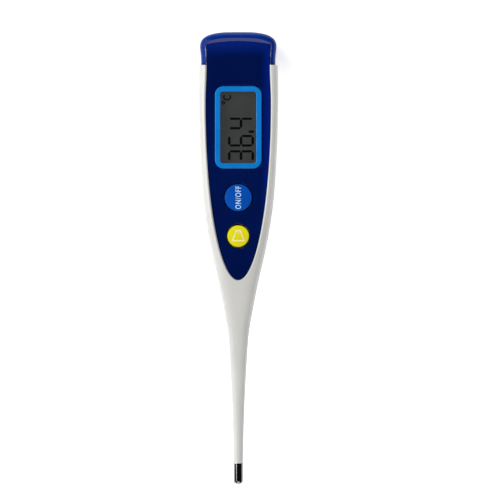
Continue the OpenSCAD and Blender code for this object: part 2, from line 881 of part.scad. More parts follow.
// Blue battery cover: side lobes that wrap the neck, a domed end and a hollow plug
module battery_cover() {
    straight_steps = 5;
    dome_steps = 9;
    color("mediumblue")
        difference() {
            union() {
                difference() {
                    loft([
                        for (i = [0 : straight_steps])
                            cover_section(cover_y0 + (dome_y - cover_y0) * i / straight_steps),
                        for (i = [1 : dome_steps])
                            cover_section(dome_y + (end_y - dome_y) * sin(88.5 * i / dome_steps)
                                / sin(88.5) - (i == dome_steps ? 0.0005 : 0))
                    ]);
                    cover_mouth();
                }
                bar(plug_r, plug_z0, plug_z1, plug_y, neck_y + 0.8, 0.8);
            }
            bar(plug_r - 0.9, plug_z0 + 0.9, plug_z1 - 0.9, plug_y - 1, end_y - 1.4, 0.4);
            block([-head_w, cover_y0 - 1, -2], [head_w, end_y + 1, 0]);
        }
}

// The room inside the cover for the neck and the face panel's end, open to the front
module cover_mouth() {
    intersection() {
        bar(neck_r + slack, cover_wall, head_t + 2, cover_y0 - 1, neck_y + 1, 1.2);
        translate([0, neck_y + slack - end_arc_r, 0]) cylinder(h = head_t, r = end_arc_r, $fn = 200);
    }
}

// Rubber ring round the plug that seals it in the neck
module cover_seal() {
    color("dimgray")
        difference() {
            bar(bay_r - fit, bay_z + fit, ceiling_z - fit, plug_y + 0.1, plug_y + 0.8, 0.4);
            bar(plug_r + 0.01, plug_z0 - 0.01, plug_z1 + 0.01, plug_y, plug_y + 2, 0.8);
        }
}

housing();
face_panel();
panel_adhesive();
display_bezel();
display_window();
lcd_gasket();
lcd_polariser();
lcd_front_glass();
lcd_rear_glass();
lcd_reflector();
lcd_frame();
zebra_strip();
circuit_board();
chip_cover();
chip_resistors();
chip_capacitors();
tray();
buzzer_plate();
buzzer_ceramic();
buzzer_leads();
keypad();
switch_contacts();
positive_contact();
negative_contact();
probe_tip();
tip_epoxy();
sensor_bead();
sensor_leads();
power_button();
power_plunger();
power_pill();
sound_button();
sound_plunger();
sound_pill();
battery_can();
battery_grommet();
battery_cap();
battery_cover();
cover_seal();
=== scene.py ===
import math

import bmesh
import bpy
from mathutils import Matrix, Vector


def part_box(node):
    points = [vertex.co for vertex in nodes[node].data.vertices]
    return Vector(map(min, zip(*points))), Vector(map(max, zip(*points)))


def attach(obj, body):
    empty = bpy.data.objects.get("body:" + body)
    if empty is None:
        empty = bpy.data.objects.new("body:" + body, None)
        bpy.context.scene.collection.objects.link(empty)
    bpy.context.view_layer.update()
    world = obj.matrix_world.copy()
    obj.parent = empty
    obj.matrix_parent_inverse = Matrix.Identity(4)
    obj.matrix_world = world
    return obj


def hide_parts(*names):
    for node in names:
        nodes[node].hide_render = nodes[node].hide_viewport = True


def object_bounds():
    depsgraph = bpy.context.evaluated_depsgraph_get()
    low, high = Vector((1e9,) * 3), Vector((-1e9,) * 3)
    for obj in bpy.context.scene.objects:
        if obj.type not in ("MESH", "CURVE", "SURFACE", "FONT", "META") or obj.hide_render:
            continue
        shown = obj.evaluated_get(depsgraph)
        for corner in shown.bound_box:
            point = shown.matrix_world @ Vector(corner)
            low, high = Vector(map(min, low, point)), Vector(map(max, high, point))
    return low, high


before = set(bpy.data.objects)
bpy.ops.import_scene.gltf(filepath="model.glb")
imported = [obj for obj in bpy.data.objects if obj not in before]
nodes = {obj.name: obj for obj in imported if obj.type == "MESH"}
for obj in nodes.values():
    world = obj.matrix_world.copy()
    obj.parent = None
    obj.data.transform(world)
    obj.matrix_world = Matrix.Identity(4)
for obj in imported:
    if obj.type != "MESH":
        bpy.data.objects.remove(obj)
cad_low, cad_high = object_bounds()
MM = 0.001

# Camera: a long lens straight above the thermometer, so that it is drawn with hardly any
# perspective. The pen stands upright in the view, with the battery cover at the top.
length = cad_high.y - cad_low.y
field = length * 1.1068
aim = Vector((length * 0.0259, length * 0.0177, cad_high.z / 2))
lens = bpy.data.cameras.new("camera")
lens.lens = 200
lens.sensor_width = 36
lens.clip_start = 0.01
lens.clip_end = 10
camera = bpy.data.objects.new("camera", lens)
bpy.context.scene.collection.objects.link(camera)
camera.location = aim + Vector((0, 0, field * lens.lens / lens.sensor_width))
bpy.context.scene.camera = camera
bpy.context.scene.view_settings.view_transform = "Standard"


# Studio: a pale light table, a large soft box on the left, weaker ones on the right and beyond
# the probe, and a small lamp on each side for the glints. Nothing bright hangs overhead, so the
# front keeps its deep navy.
def textured(name, dark, pale, grain, detail=3.0, rough=(0.4, 0.5), bump=0.0, depth=0.0,
             bump_grain=None, stretch=(1, 1, 1), metallic=0.0, spread=(0.35, 0.65)):
    """A node material: a noise varies the colour and the gloss, and a second one the relief."""
    material = bpy.data.materials.new(name)
    material.use_nodes = True
    tree = material.node_tree
    links = tree.links
    shader = tree.nodes["Principled BSDF"]
    shader.inputs["Metallic"].default_value = metallic
    place = tree.nodes.new("ShaderNodeTexCoord")
    mapping = tree.nodes.new("ShaderNodeMapping")
    mapping.inputs["Scale"].default_value = stretch
    links.new(place.outputs["Object"], mapping.inputs["Vector"])
    noise = tree.nodes.new("ShaderNodeTexNoise")
    noise.inputs["Scale"].default_value = grain
    noise.inputs["Detail"].default_value = detail
    links.new(mapping.outputs["Vector"], noise.inputs["Vector"])
    ramp = tree.nodes.new("ShaderNodeValToRGB")
    ramp.color_ramp.elements[0].position = spread[0]
    ramp.color_ramp.elements[0].color = (*dark, 1)
    ramp.color_ramp.elements[1].position = spread[1]
    ramp.color_ramp.elements[1].color = (*pale, 1)
    links.new(noise.outputs["Fac"], ramp.inputs["Fac"])
    links.new(ramp.outputs["Color"], shader.inputs["Base Color"])
    gloss = tree.nodes.new("ShaderNodeMapRange")
    gloss.inputs["From Min"].default_value = spread[0]
    gloss.inputs["From Max"].default_value = spread[1]
    gloss.inputs["To Min"].default_value = rough[0]
    gloss.inputs["To Max"].default_value = rough[1]
    links.new(noise.outputs["Fac"], gloss.inputs["Value"])
    links.new(gloss.outputs["Result"], shader.inputs["Roughness"])
    if bump:
        relief = tree.nodes.new("ShaderNodeTexNoise")
        relief.inputs["Scale"].default_value = bump_grain or grain
        relief.inputs["Detail"].default_value = 2
        links.new(mapping.outputs["Vector"], relief.inputs["Vector"])
        raised = tree.nodes.new("ShaderNodeBump")
        raised.inputs["Strength"].default_value = bump
        raised.inputs["Distance"].default_value = depth
        links.new(relief.outputs["Fac"], raised.inputs["Height"])
        links.new(raised.outputs["Normal"], shader.inputs["Normal"])
    return material


def setting(material, **values):
    """Sets plain values on a material's main shader."""
    shader = material.node_tree.nodes["Principled BSDF"]
    for name, value in values.items():
        shader.inputs[name.replace("_", " ")].default_value = value
    return material


def mesh_piece(name, points, faces):
    """A new object from points and faces, with its normals facing outwards."""
    mesh = bpy.data.meshes.new(name)
    mesh.from_pydata([tuple(p) for p in points], [], faces)
    work = bmesh.new()
    work.from_mesh(mesh)
    bmesh.ops.recalc_face_normals(work, faces=work.faces)
    work.to_mesh(mesh)
    work.free()
    piece = bpy.data.objects.new(name, mesh)
    bpy.context.scene.collection.objects.link(piece)
    return piece


def soft_box(name, place, size, power):
    """A rectangular lamp that faces the middle of the table."""
    data = bpy.data.lights.new(name, "AREA")
    data.shape = "RECTANGLE"
    data.size, data.size_y = size
    data.energy = power
    light = bpy.data.objects.new(name, data)
    bpy.context.scene.collection.objects.link(light)
    light.location = place
    light.rotation_euler = (-Vector(place)).to_track_quat("-Z", "Y").to_euler()


half_table = 3.0
table_z = -0.05 * MM  # just clear of the flat back, so that the two don't share one surface
table = mesh_piece("table", [
    (-half_table, -half_table, table_z), (half_table, -half_table, table_z),
    (half_table, half_table, table_z), (-half_table, half_table, table_z),
], [(0, 1, 2, 3)])
table_card = textured("table_card", (0.91, 0.91, 0.91), (0.94, 0.94, 0.94), 60, rough=(0.85, 0.95))
setting(table_card, Specular_IOR_Level=0.1, Emission_Color=(1, 1, 1, 1), Emission_Strength=0.5)
table.data.materials.append(table_card)

soft_box("key_light", (-0.88, 0.44, 0.66), (1.2, 1.0), 15.2)
soft_box("fill_light", (0.9, 0.35, 0.8), (0.6, 0.6), 4.6)
soft_box("probe_light", (0.0, -1.0, 0.55), (0.9, 0.35), 3.4)
soft_box("lip_light", (0.0, -0.72, 0.9), (1.1, 0.55), 2.4)
soft_box("left_spark", (-0.9, 0.04, 0.6), (0.035, 0.12), 2.2)
soft_box("right_spark", (0.9, 0.06, 0.6), (0.035, 0.12), 0.9)
world = bpy.data.worlds.new("studio")
world.use_nodes = True
world.node_tree.nodes["Background"].inputs["Color"].default_value = (0.9, 0.95, 1, 1)
world.node_tree.nodes["Background"].inputs["Strength"].default_value = 0.012
bpy.context.scene.world = world


# Housing: one white ABS moulding, a flattened head that tapers into a round stem. Its front has
# a recess with a softened edge for the face panel, and its upper end steps down to a hollow neck.
cover_low, cover_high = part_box("battery_cover")
panel_low, panel_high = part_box("face_panel")
tip_low, tip_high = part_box("probe_tip")
tray_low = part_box("tray")[0]
head_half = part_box("housing")[1].x
neck_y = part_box("housing")[1].y
seat_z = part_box("panel_adhesive")[0].z
end_y = cover_high.y
parting = 0.1 * MM
seam_y = cover_low.y - parting
stem_end_y = tip_high.y
head_length = 87.5 * MM
stem_y = end_y - head_length
stem_length = stem_y - stem_end_y
axis_z = (tip_low.z + tip_high.z) / 2
probe_radius = (tip_high.z - tip_low.z) / 2
head_height = 12.4 * MM
back_flat = 0.35 * MM
shell_wall = 1.3 * MM
stem_wall = 0.53 * MM
front_wall = 1.0 * MM
ceiling_z = seat_z - front_wall
panel_top = panel_high.z
panel_half = panel_high.x
neck_half = panel_half - 0.34 * MM
neck_wall = 0.95 * MM
slide_gap = 0.15 * MM
shell_points, cavity_points = 160, 48

# Place along the pen, then how far the width, the underside and the crown have gone from those
# of the probe (0) to those of the head (1)
stations = [
    (stem_end_y, 0, 0, 0),
    (stem_y - 0.66 * stem_length, 0.033, 0.008, 0.07),
    (stem_y - 0.31 * stem_length, 0.106, 0.04, 0.27),
    (stem_y - 0.1 * stem_length, 0.175, 0.07, 0.47),
    (stem_y, 0.245, 0.095, 0.58),
    (end_y - 82.4 * MM, 0.333, 0.17, 0.71),
    (end_y - 74.5 * MM, 0.487, 0.363, 0.88),
    (end_y - 67 * MM, 0.645, 0.64, 0.96),
    (end_y - 59.5 * MM, 0.774, 0.89, 0.99),
    (end_y - 52.3 * MM, 0.866, 0.99, 1),
    (end_y - 44.5 * MM, 0.922, 1, 1),
    (end_y - 33.8 * MM, 0.973, 1, 1),
    (end_y - 21 * MM, 1, 1, 1),
    (seam_y, 0.991, 1, 1),
]


def station_curve(y, column):
    """A smooth curve through one column of the stations, read at y."""
    def slope(index):
        before, after = stations[max(index - 1, 0)], stations[min(index + 1, len(stations) - 1)]
        return (after[column] - before[column]) / (after[0] - before[0])

    index = 0
    while index < len(stations) - 2 and y > stations[index + 1][0]:
        index += 1
    here, there = stations[index], stations[index + 1]
    run = there[0] - here[0]
    t = (y - here[0]) / run
    value = (here[column] * (1 + 2 * t) * (1 - t) ** 2 + slope(index) * run * t * (1 - t) ** 2
             + there[column] * t * t * (3 - 2 * t) - slope(index + 1) * run * t * t * (1 - t))
    return min(max(value, 0), 1)


def section(y, half, low, middle, high, back_power, front_power, count):
    """A superellipse across the pen, with its own squareness in front and behind."""
    ring = []
    for step in range(count):
        angle = 2 * math.pi * (step + 0.5) / count
        c, s = math.cos(angle), math.sin(angle)
        power = front_power if s > 0 else back_power
        reach = high - middle if s > 0 else middle - low
        ring.append((half * math.copysign(abs(c) ** (2 / power), c), y,
                     middle + reach * math.copysign(abs(s) ** (2 / power), s)))
    return ring


def shell_size(y):
    """Half width, underside, middle height and crown of the shell at y."""
    half = probe_radius + (head_half - probe_radius) * station_curve(y, 1)
    low = axis_z - probe_radius - (axis_z - probe_radius + back_flat) * station_curve(y, 2)
    high = axis_z + probe_radius + (head_height - axis_z - probe_radius) * station_curve(y, 3)
    return half, low, (max(low, 0) + high) / 2, high


def shell_section(y, inset=0.0):
    """The outside at y, with the underside planed off flat at the height of the table."""
    half, low, middle, high = shell_size(y)
    share = station_curve(y, 1)
    ring = section(y, half - inset, low + inset, middle, high - inset,
                   2 + share, 2 + 3 * share, shell_points)
    return [(x, y_, max(z, inset)) for x, y_, z in ring]


def cavity_section(y):
    """The hollow inside the shell at y, up to the ceiling under the face panel."""
    half, low, middle, high = shell_size(y)
    share = station_curve(y, 1)
    wall = stem_wall + (shell_wall - stem_wall) * math.sqrt(share)
    return section(y, half - wall, max(low, 0) + wall, middle, min(ceiling_z, high - wall),
                   2 + share, 2 + 7 * share, cavity_points)


def skin(name, rings, closed=False):
    """A mesh over a row of rings, with a face on each end unless the row closes on itself."""
    count = len(rings[0])
    faces = []
    for row in range(len(rings) if closed else len(rings) - 1):
        after = (row + 1) % len(rings)
        for i in range(count):
            j = (i + 1) % count
            faces.append((row * count + i, row * count + j, after * count + j, after * count + i))
    if not closed:
        faces.append(tuple(range(count)))
        faces.append(tuple((len(rings) - 1) * count + i for i in range(count)))
    return mesh_piece(name, [p for ring in rings for p in ring], faces)


def bake(piece):
    """Applies a piece's modifiers to its mesh."""
    graph = bpy.context.evaluated_depsgraph_get()
    mesh = bpy.data.meshes.new_from_object(piece.evaluated_get(graph))
    piece.modifiers.clear()
    old = piece.data
    piece.data = mesh
    bpy.data.meshes.remove(old)


def carve(piece, tool, operation="DIFFERENCE"):
    """Cuts a tool out of a piece, or joins it on, and throws the tool away."""
    step = piece.modifiers.new("carve", "BOOLEAN")
    step.operation = operation
    step.solver = "EXACT"
    step.object = tool
    bake(piece)
    mesh = tool.data
    bpy.data.objects.remove(tool)
    bpy.data.meshes.remove(mesh)


def smooth(piece, sharp_above=34):
    """Shades a piece smooth, apart from the edges that are sharper than the given angle."""
    work = bmesh.new()
    work.from_mesh(piece.data)
    bmesh.ops.dissolve_degenerate(work, dist=1e-7, edges=work.edges)
    for face in work.faces:
        face.smooth = True
    for edge in work.edges:
        if len(edge.link_faces) == 2:
            edge.smooth = edge.calc_face_angle(0) < math.radians(sharp_above)
    work.to_mesh(piece.data)
    work.free()
    weigh = piece.modifiers.new("weighted", "WEIGHTED_NORMAL")
    weigh.keep_sharp = True


def rounded(half_x, half_y, radius, centre=(0.0, 0.0), corner_steps=10):
    """A rectangle with round corners, as a ring of points."""
    ring = []
    for sign_x, sign_y, start in ((1, 1, 0), (-1, 1, 90), (-1, -1, 180), (1, -1, 270)):
        for step in range(corner_steps + 1):
            angle = math.radians(start + 90 * step / corner_steps)
            ring.append((centre[0] + sign_x * (half_x - radius) + radius * math.cos(angle),
                         centre[1] + sign_y * (half_y - radius) + radius * math.sin(angle)))
    return ring


def bar(name, half, low, high, y0, y1, radius):
    """A bar of rounded rectangular section that runs along the pen."""
    ring = rounded(half, (high - low) / 2, radius, (0.0, (high + low) / 2))
    return skin(name, [[(x, y, z) for x, z in ring] for y in (y0, y1)])


def disc(name, y, radius, levels, count=96):
    """A round form that stands on the front: its levels are (height, spread) pairs."""
    rings = []
    for z, spread in levels:
        rings.append([((radius + spread) * math.cos(2 * math.pi * i / count),
                       y + (radius + spread) * math.sin(2 * math.pi * i / count), z)
                      for i in range(count)])
    return skin(name, rings)


def rod(name, radius, y0, y1, count=64):
    """A round bar on the stem's axis."""
    return skin(name, [[(radius * math.cos(2 * math.pi * i / count), y,
                         axis_z + radius * math.sin(2 * math.pi * i / count))
                        for i in range(count)] for y in (y0, y1)])


end_arc = 50 * MM
widest_y = end_y - 22.5 * MM
taper_length = 53.7 * MM


def side_half(y):
    """Half width of the face panel: a half ellipse, then nearly straight up to the neck."""
    if y < widest_y:
        return panel_half * math.sqrt(max(0, 1 - ((widest_y - y) / taper_length) ** 2))
    part = min(1, (y - widest_y) / (seam_y - widest_y))
    return panel_half - (panel_half - neck_half) * math.sin(math.pi / 2 * part) ** 2


def arc_y(x):
    """The arc that ends the neck and the face panel."""
    return neck_y - end_arc + math.sqrt(end_arc ** 2 - x * x)


def side_points(top):
    """Half width and place along one side of the panel, from its point up to the given place."""
    points = [widest_y - taper_length * math.cos(math.pi / 2 * step / 48) for step in range(49)]
    points += [widest_y + (top - widest_y) * step / 14 for step in range(1, 15)]
    return [(side_half(y), y) for y in points]


def panel_ring(gap, top):
    """The panel's outline below a straight top, spread by a gap on every side."""
    right = [(x * (1 + gap / panel_half), y - gap * max(0, widest_y - y) / taper_length)
             for x, y in side_points(top)]
    return right + [(-x, y) for x, y in reversed(right[1:])]


stem_rings, cavity_rings = 210, 60
seam_round = 0.22 * MM
rings = [shell_section(stem_end_y + (seam_y - seam_round - stem_end_y) * i / stem_rings)
         for i in range(stem_rings + 1)]
for step in range(1, 6):
    angle = math.pi / 2 * step / 5
    rings.append(shell_section(seam_y - seam_round + seam_round * math.sin(angle),
                               seam_round * (1 - math.cos(angle))))
housing = skin("housing_shell", rings)
neck = bar("neck", neck_half, tray_low.z - 1.25 * MM, seat_z + 0.2 * MM,
           seam_y - 1.9 * MM, neck_y + 1 * MM, 1.4 * MM)
trim_ring = [(-head_half, seam_y - 8 * MM), (head_half, seam_y - 8 * MM)]
trim_ring += [(x, arc_y(x)) for x in (head_half * (1 - step / 20) for step in range(41))]
carve(neck, skin("neck_trim", [[(x, y, z) for x, y in trim_ring] for z in (-MM, 20 * MM)]),
      "INTERSECT")
carve(housing, neck, "UNION")
cavity_start, cavity_end = stem_end_y + 0.6 * MM, seam_y - 1.6 * MM
carve(housing, skin("cavity", [
    cavity_section(cavity_start + (cavity_end - cavity_start) * i / cavity_rings)
    for i in range(cavity_rings + 1)
]))
carve(housing, rod("spigot", probe_radius - 0.25 * MM, stem_end_y - 3 * MM, stem_end_y + 0.5 * MM),
      "UNION")
carve(housing, rod("bore", probe_radius - stem_wall - 0.1 * MM, stem_end_y - 4 * MM,
                   stem_end_y + 1.4 * MM))
carve(housing, bar("bay", neck_half - neck_wall, tray_low.z - slide_gap, ceiling_z,
                   cavity_end - 0.6 * MM, neck_y + 2 * MM, 0.4 * MM))

recess_gap = 0.1 * MM
rim_start = panel_top - 0.06 * MM
recess_levels = [(seat_z, recess_gap), (rim_start, recess_gap)]
for rise, rim_slope in ((0.38 * MM, 1.45), (0.42 * MM, 1.51), (0.46 * MM, 1.57)):
    recess_levels.append((rim_start + rise, recess_gap + rim_slope * rise))
recess_levels.append((head_height + MM, recess_levels[-1][1]))
carve(housing, skin("recess", [[(x, y, z) for x, y in panel_ring(gap, neck_y + 1 * MM)]
                               for z, gap in recess_levels]))

window_low, window_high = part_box("display_window")
display_y = (window_low.y + window_high.y) / 2
window_ledge = 0.35 * MM
window_hole = rounded(window_high.x - window_ledge, window_high.y - display_y - window_ledge,
                      0.8 * MM, (0.0, display_y))
carve(housing, skin("window_hole", [[(x, y, z) for x, y in window_hole]
                                    for z in (ceiling_z - MM, seat_z + MM)]))
button_gap = 0.28 * MM
flange = 0.8 * MM
button_sizes = {}
for button in ("power_button", "sound_button"):
    low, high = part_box(button)
    button_sizes[button] = ((low.y + high.y) / 2, (high.x - low.x) / 2 - flange)
    carve(housing, disc("shaft", *button_sizes[button],
                        [(ceiling_z - MM, button_gap), (seat_z + MM, button_gap)]))
smooth(housing)
white_plastic = textured(
    "white_plastic", (0.575, 0.57, 0.55), (0.61, 0.605, 0.585), 45, rough=(0.3, 0.42),
    bump=0.05, depth=0.02 * MM, bump_grain=7000)
setting(white_plastic, Subsurface_Weight=0.05, Subsurface_Radius=(0.002, 0.0018, 0.0015),
        Subsurface_Scale=0.4)
housing.data.materials.append(white_plastic)
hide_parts("housing")
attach(housing, "thermometer")


# Face panel: a navy plate printed behind clear acrylic, slightly crowned across and with its
# edges rounded, stuck into the recess. It has openings for the bezel and for both buttons.
panel_low_z = panel_low.z
panel_edge = 0.14 * MM
panel_sag = 0.2 * MM
bezel_low, bezel_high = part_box("display_bezel")
bezel_half_x = bezel_high.x
bezel_half_y = (bezel_high.y - bezel_low.y) / 2
bezel_corner = 2.6 * MM


def panel_grid(gap, height):
    """Rows of points over the whole panel, spread by a gap; height gives each point's Z."""
    corner_y = arc_y(neck_half) - 0.4 * MM
    rows = []
    for half, y in side_points(corner_y)[1:]:
        half = half * (1 + gap / panel_half)
        y = y - gap * max(0, widest_y - y) / taper_length
        rows.append([(half * u / 20, y) for u in range(-20, 21)])
    half = neck_half * (1 + gap / panel_half)
    rows.append([(half * u / 20, arc_y(half * u / 20) + gap) for u in range(-20, 21)])
    return [[(x, y, height(abs(u - 20) / 20)) for u, (x, y) in enumerate(row)] for row in rows]


def panel_border(rows):
    """The points round the edge of such rows, from the bottom row's middle round."""
    right = [row[-1] for row in rows]
    left = [row[0] for row in rows]
    return rows[0][20:-1] + right[:-1] + rows[-1][::-1] + left[:-1][::-1] + rows[0][1:20]


def panel_face(rows, start):
    """Faces over a grid whose points begin at the given number."""
    width = len(rows[0])
    return [(start + r * width + c, start + r * width + c + 1,
             start + (r + 1) * width + c + 1, start + (r + 1) * width + c)
            for r in range(len(rows) - 1) for c in range(width - 1)]


def crowned(drop):
    """A height for panel_grid: the crowned top, lowered by the given drop."""
    return lambda side: panel_top - drop - panel_sag * side ** 2.2


top_rows = panel_grid(-panel_edge, crowned(0))
points = [p for row in top_rows for p in row]
faces = panel_face(top_rows, 0)
loops = [panel_border(top_rows)]
for step in range(1, 5):
    angle = math.pi / 2 * step / 4
    rows = panel_grid(-panel_edge * (1 - math.sin(angle)),
                      crowned(panel_edge * (1 - math.cos(angle))))
    loops.append(panel_border(rows))
bottom_rows = panel_grid(0, lambda side: panel_low_z)
loops.append(panel_border(bottom_rows))
count = len(loops[0])
index_of = {p: i for i, p in enumerate(points)}
loop_starts = [[index_of[p] for p in loops[0]]]
for loop in loops[1:]:
    loop_starts.append(list(range(len(points), len(points) + count)))
    points += loop
for lower, upper in zip(loop_starts, loop_starts[1:]):
    faces += [(lower[i], lower[(i + 1) % count], upper[(i + 1) % count], upper[i])
              for i in range(count)]
faces.append(tuple(loop_starts[-1]))
face_panel = mesh_piece("navy_panel", points, faces)
bezel_hole = [
    [(x, y, z) for x, y in rounded(bezel_half_x + gap, bezel_half_y + gap, bezel_corner + gap,
                                   (0.0, display_y))]
    for z, gap in ((panel_low_z - MM, 0.06 * MM), (panel_top - 0.22 * MM, 0.06 * MM),
                   (panel_top - 0.1 * MM, 0.11 * MM), (panel_top, 0.24 * MM),
                   (panel_top + 0.3 * MM, 0.8 * MM))
]
carve(face_panel, skin("bezel_hole", bezel_hole))
for button, (y, radius) in button_sizes.items():
    carve(face_panel, disc("button_hole", y, radius, [
        (panel_low_z - MM, button_gap), (panel_top - 0.16 * MM, button_gap),
        (panel_top - 0.06 * MM, button_gap + 0.04 * MM), (panel_top, button_gap + 0.12 * MM),
        (panel_top + 0.3 * MM, button_gap + 0.7 * MM)]))
smooth(face_panel, 40)


def painted_light_along(material, axis, start, end, tint, source="Object"):
    """Mixes a paler tint into a material along one axis of its place or of its normal, to paint
    light on it.
    """
    tree = material.node_tree
    shader = tree.nodes["Principled BSDF"]
    plain = shader.inputs["Base Color"].links[0].from_socket
    place = tree.nodes.new("ShaderNodeTexCoord")
    split = tree.nodes.new("ShaderNodeSeparateXYZ")
    fade = tree.nodes.new("ShaderNodeMapRange")
    fade.interpolation_type = "SMOOTHSTEP"
    fade.inputs["From Min"].default_value = start
    fade.inputs["From Max"].default_value = end
    mix = tree.nodes.new("ShaderNodeMix")
    mix.data_type = "RGBA"
    mix.inputs["B"].default_value = (*tint, 1)
    tree.links.new(place.outputs[source], split.inputs["Vector"])
    tree.links.new(split.outputs[axis], fade.inputs["Value"])
    tree.links.new(fade.outputs["Result"], mix.inputs["Factor"])
    tree.links.new(plain, mix.inputs["A"])
    tree.links.new(mix.outputs["Result"], shader.inputs["Base Color"])


navy = textured("navy_acrylic", (0.0004, 0.0050, 0.053), (0.0007, 0.0068, 0.068), 60,
                rough=(0.05, 0.09), bump=0.02, depth=0.02 * MM, bump_grain=900)
setting(navy, Specular_IOR_Level=0.07)
# Painted reflection: the navy turns paler towards the panel's upper end, next to the cover.
painted_light_along(navy, "Y", end_y - 8.5 * MM, end_y - 3.4 * MM, (0.0018, 0.014, 0.16))
# Painted highlight: the navy also turns paler towards the panel's right-hand edge, where light
# falls on it.
painted_light_along(navy, "X", 6.6 * MM, 9.6 * MM, (0.0008, 0.011, 0.17))
face_panel.data.materials.append(navy)
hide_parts("face_panel")
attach(face_panel, "thermometer")


def finish(node, material):
    """Gives a CAD piece its material."""
    slots = nodes[node].data.materials
    slots.clear()
    slots.append(material)


# Adhesive: double-sided film under the face panel, hidden between it and the housing.
finish("panel_adhesive", textured("adhesive_film", (0.7, 0.7, 0.66), (0.8, 0.8, 0.76), 800,
                                  rough=(0.3, 0.5), bump=0.2, depth=0.02 * MM, bump_grain=3000))


# Display bezel: a bright blue frame moulded in ABS, with rounded edges and a bevel that runs
# down to the window. It is pushed into the panel's opening and holds the window from above.
view_inset = 1.62 * MM
view_corner = 0.9 * MM
bezel_top = bezel_high.z
bezel_base = bezel_low.z
window_top = window_high.z
bezel_round = 0.22 * MM
profile = [(0.0, bezel_base)]
for step in range(6):
    angle = math.pi / 2 * step / 5
    profile.append((bezel_round * (1 - math.cos(angle)),
                    bezel_top - bezel_round * (1 - math.sin(angle))))
profile.append((view_inset * 0.55, bezel_top - 0.01 * MM))
for step in range(6):
    angle = math.pi / 2 * step / 5
    profile.append((view_inset - bezel_round * (1 - math.sin(angle)),
                    bezel_top - 0.03 * MM - bezel_round * (1 - math.cos(angle))))
profile += [(view_inset, window_top + 0.01 * MM), (view_inset - 0.7 * MM, window_top + 0.01 * MM),
            (view_inset - 0.7 * MM, bezel_base)]
bezel = skin("bezel_frame", [
    [(x, y, z) for x, y in rounded(
        bezel_half_x - inset, bezel_half_y - inset,
        bezel_corner - (bezel_corner - view_corner) * inset / view_inset, (0.0, display_y))]
    for inset, z in profile
], closed=True)
smooth(bezel, 40)
bright_blue = textured("bright_blue", (0.0025, 0.165, 0.52), (0.0035, 0.190, 0.60), 90,
                       rough=(0.22, 0.3), bump=0.05, depth=0.02 * MM, bump_grain=6000)
setting(bright_blue, Specular_IOR_Level=0.2)
bezel.data.materials.append(bright_blue)
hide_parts("display_bezel")
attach(bezel, "thermometer")


# Window: a flat plate of clear acrylic under the bezel's lip. What shows of it is only a faint
# reflection over the dark display.
clear = textured("clear_acrylic", (0.004, 0.004, 0.004), (0.006, 0.006, 0.006), 200,
                 rough=(0.02, 0.04))
setting(clear, Alpha=0.12)
finish("display_window", clear)


# Display: a liquid crystal stack. The grey polariser and the segments printed under it are what
# is seen; foam, two glass plates, the reflector, the frame and the rubber connector lie below.
polariser = textured("polariser_film", (0.02, 0.021, 0.021), (0.026, 0.027, 0.026), 130,
                     rough=(0.4, 0.5), bump=0.05, depth=0.01 * MM, bump_grain=9000)
# The polariser glows faintly: painted light that evens out the shade the recess casts on the
# display.
setting(polariser, Specular_IOR_Level=0.1, Emission_Color=(0.96, 1, 1, 1), Emission_Strength=0.04)
finish("lcd_polariser", polariser)
finish("lcd_gasket", textured("dark_foam", (0.012, 0.012, 0.013), (0.03, 0.03, 0.032), 2500,
                              rough=(0.85, 0.95), bump=0.6, depth=0.1 * MM))
glass = textured("display_glass", (0.25, 0.30, 0.28), (0.30, 0.35, 0.33), 90, rough=(0.03, 0.06))
setting(glass, Alpha=0.5)
finish("lcd_front_glass", glass)
finish("lcd_rear_glass", glass)
finish("lcd_reflector", textured("reflector_film", (0.45, 0.46, 0.46), (0.6, 0.61, 0.61), 3000,
                                 rough=(0.3, 0.45), metallic=0.8, bump=0.3, depth=0.01 * MM))
finish("lcd_frame", textured("frame_plastic", (0.66, 0.66, 0.63), (0.72, 0.72, 0.69), 70,
                             rough=(0.4, 0.5), bump=0.08, depth=0.02 * MM, bump_grain=5000))


def striped(name, dark, pale, pitch):
    """Rubber with thin conducting stripes across it."""
    material = bpy.data.materials.new(name)
    material.use_nodes = True
    tree = material.node_tree
    shader = tree.nodes["Principled BSDF"]
    place = tree.nodes.new("ShaderNodeTexCoord")
    wave = tree.nodes.new("ShaderNodeTexWave")
    wave.bands_direction = "Y"
    wave.inputs["Scale"].default_value = 1 / pitch / 3.2
    wave.inputs["Distortion"].default_value = 0.1
    ramp = tree.nodes.new("ShaderNodeValToRGB")
    ramp.color_ramp.elements[0].position = 0.45
    ramp.color_ramp.elements[0].color = (*dark, 1)
    ramp.color_ramp.elements[1].position = 0.55
    ramp.color_ramp.elements[1].color = (*pale, 1)
    tree.links.new(place.outputs["Object"], wave.inputs["Vector"])
    tree.links.new(wave.outputs["Fac"], ramp.inputs["Fac"])
    tree.links.new(ramp.outputs["Color"], shader.inputs["Base Color"])
    shader.inputs["Roughness"].default_value = 0.7
    return material


finish("zebra_strip", striped("striped_rubber", (0.015, 0.015, 0.015), (0.75, 0.45, 0.42),
                              0.2 * MM))

print_lift = 0.012 * MM
segment_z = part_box("lcd_polariser")[1].z + print_lift
segment_width = 0.8 * MM
digit_height = 8.0 * MM
digit_width = 3.7 * MM
digit_foot_x = 4.85 * MM
digit_places = ((3, display_y - 8.7 * MM), (6, display_y - 4.0 * MM), (4, display_y + 1.3 * MM))
lit = {3: "abcdg", 6: "acdefg", 4: "bcfg"}


def stroke(start, end, width, points, faces):
    """One flat bar with pointed ends between two places on the display."""
    start, end = Vector(start), Vector(end)
    along_it = (end - start).normalized()
    across = Vector((-along_it.y, along_it.x)) * width / 2
    cut = along_it * width / 2
    first = len(points)
    for p in (start, start + cut + across, end - cut + across, end, end - cut - across,
              start + cut - across):
        points.append((p.x, p.y, segment_z))
    faces.append(tuple(range(first, first + 6)))


